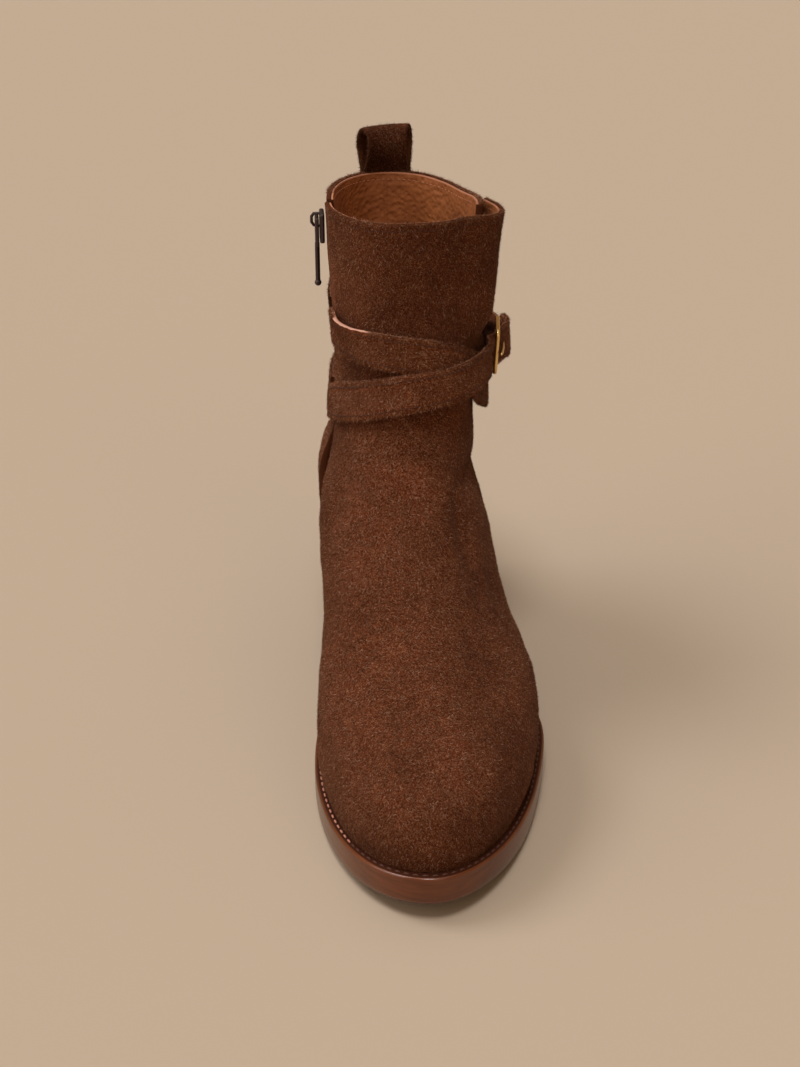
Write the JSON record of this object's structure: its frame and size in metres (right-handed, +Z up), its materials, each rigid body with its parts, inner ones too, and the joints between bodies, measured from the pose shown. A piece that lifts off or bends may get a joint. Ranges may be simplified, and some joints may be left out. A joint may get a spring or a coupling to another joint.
{
  "type": "ankle boot",
  "caption": "Left suede ankle boot with crossed straps and a buckle, an inside zip with a hinged pull, a pull loop and a welted sole with a low stacked heel.",
  "frame": {"origin": "floor level under the middle of the bounding box", "axes": "-Y towards the toe, +X towards the outer side of the foot, +Z up"},
  "size_m": [0.0961, 0.2638, 0.2239],
  "materials": {
    "burnished_edge": "smooth burnished sole leather",
    "leather_welt": "waxed welt leather",
    "stacked_leather": "stacked leather, satin",
    "rubber_lift": "matt rubber",
    "tan_lining": "pebbled lining leather",
    "brown_suede": "brown suede with a short nap",
    "brass": "polished brass",
    "zip_tape": "woven tape and coil",
    "dark_metal": "dark plated metal"
  },
  "bodies": {
    "boot": {"outsole": "burnished_edge", "welt": "leather_welt", "heel_block": "stacked_leather", "top_lift": "rubber_lift", "insole": "tan_lining", "upper": "brown_suede", "front_flap": "brown_suede", "pull_loop": "brown_suede", "strap_upper": "brown_suede", "strap_buckled": "brown_suede", "strap_base": "brown_suede", "buckle_frame": "brass", "buckle_prong": "brass", "zip_chain": "zip_tape", "zip_slider": "dark_metal"},
    "pull": {"zip_pull": "dark_metal"}
  },
  "joints": [
    {"name": "pull_swing", "type": "hinge", "parent": "boot", "child": "pull", "pos_m": [-0.03819, 0.06517, 0.20434], "axis": [0, 1, 0], "range_deg": [0, 160]}
  ]
}
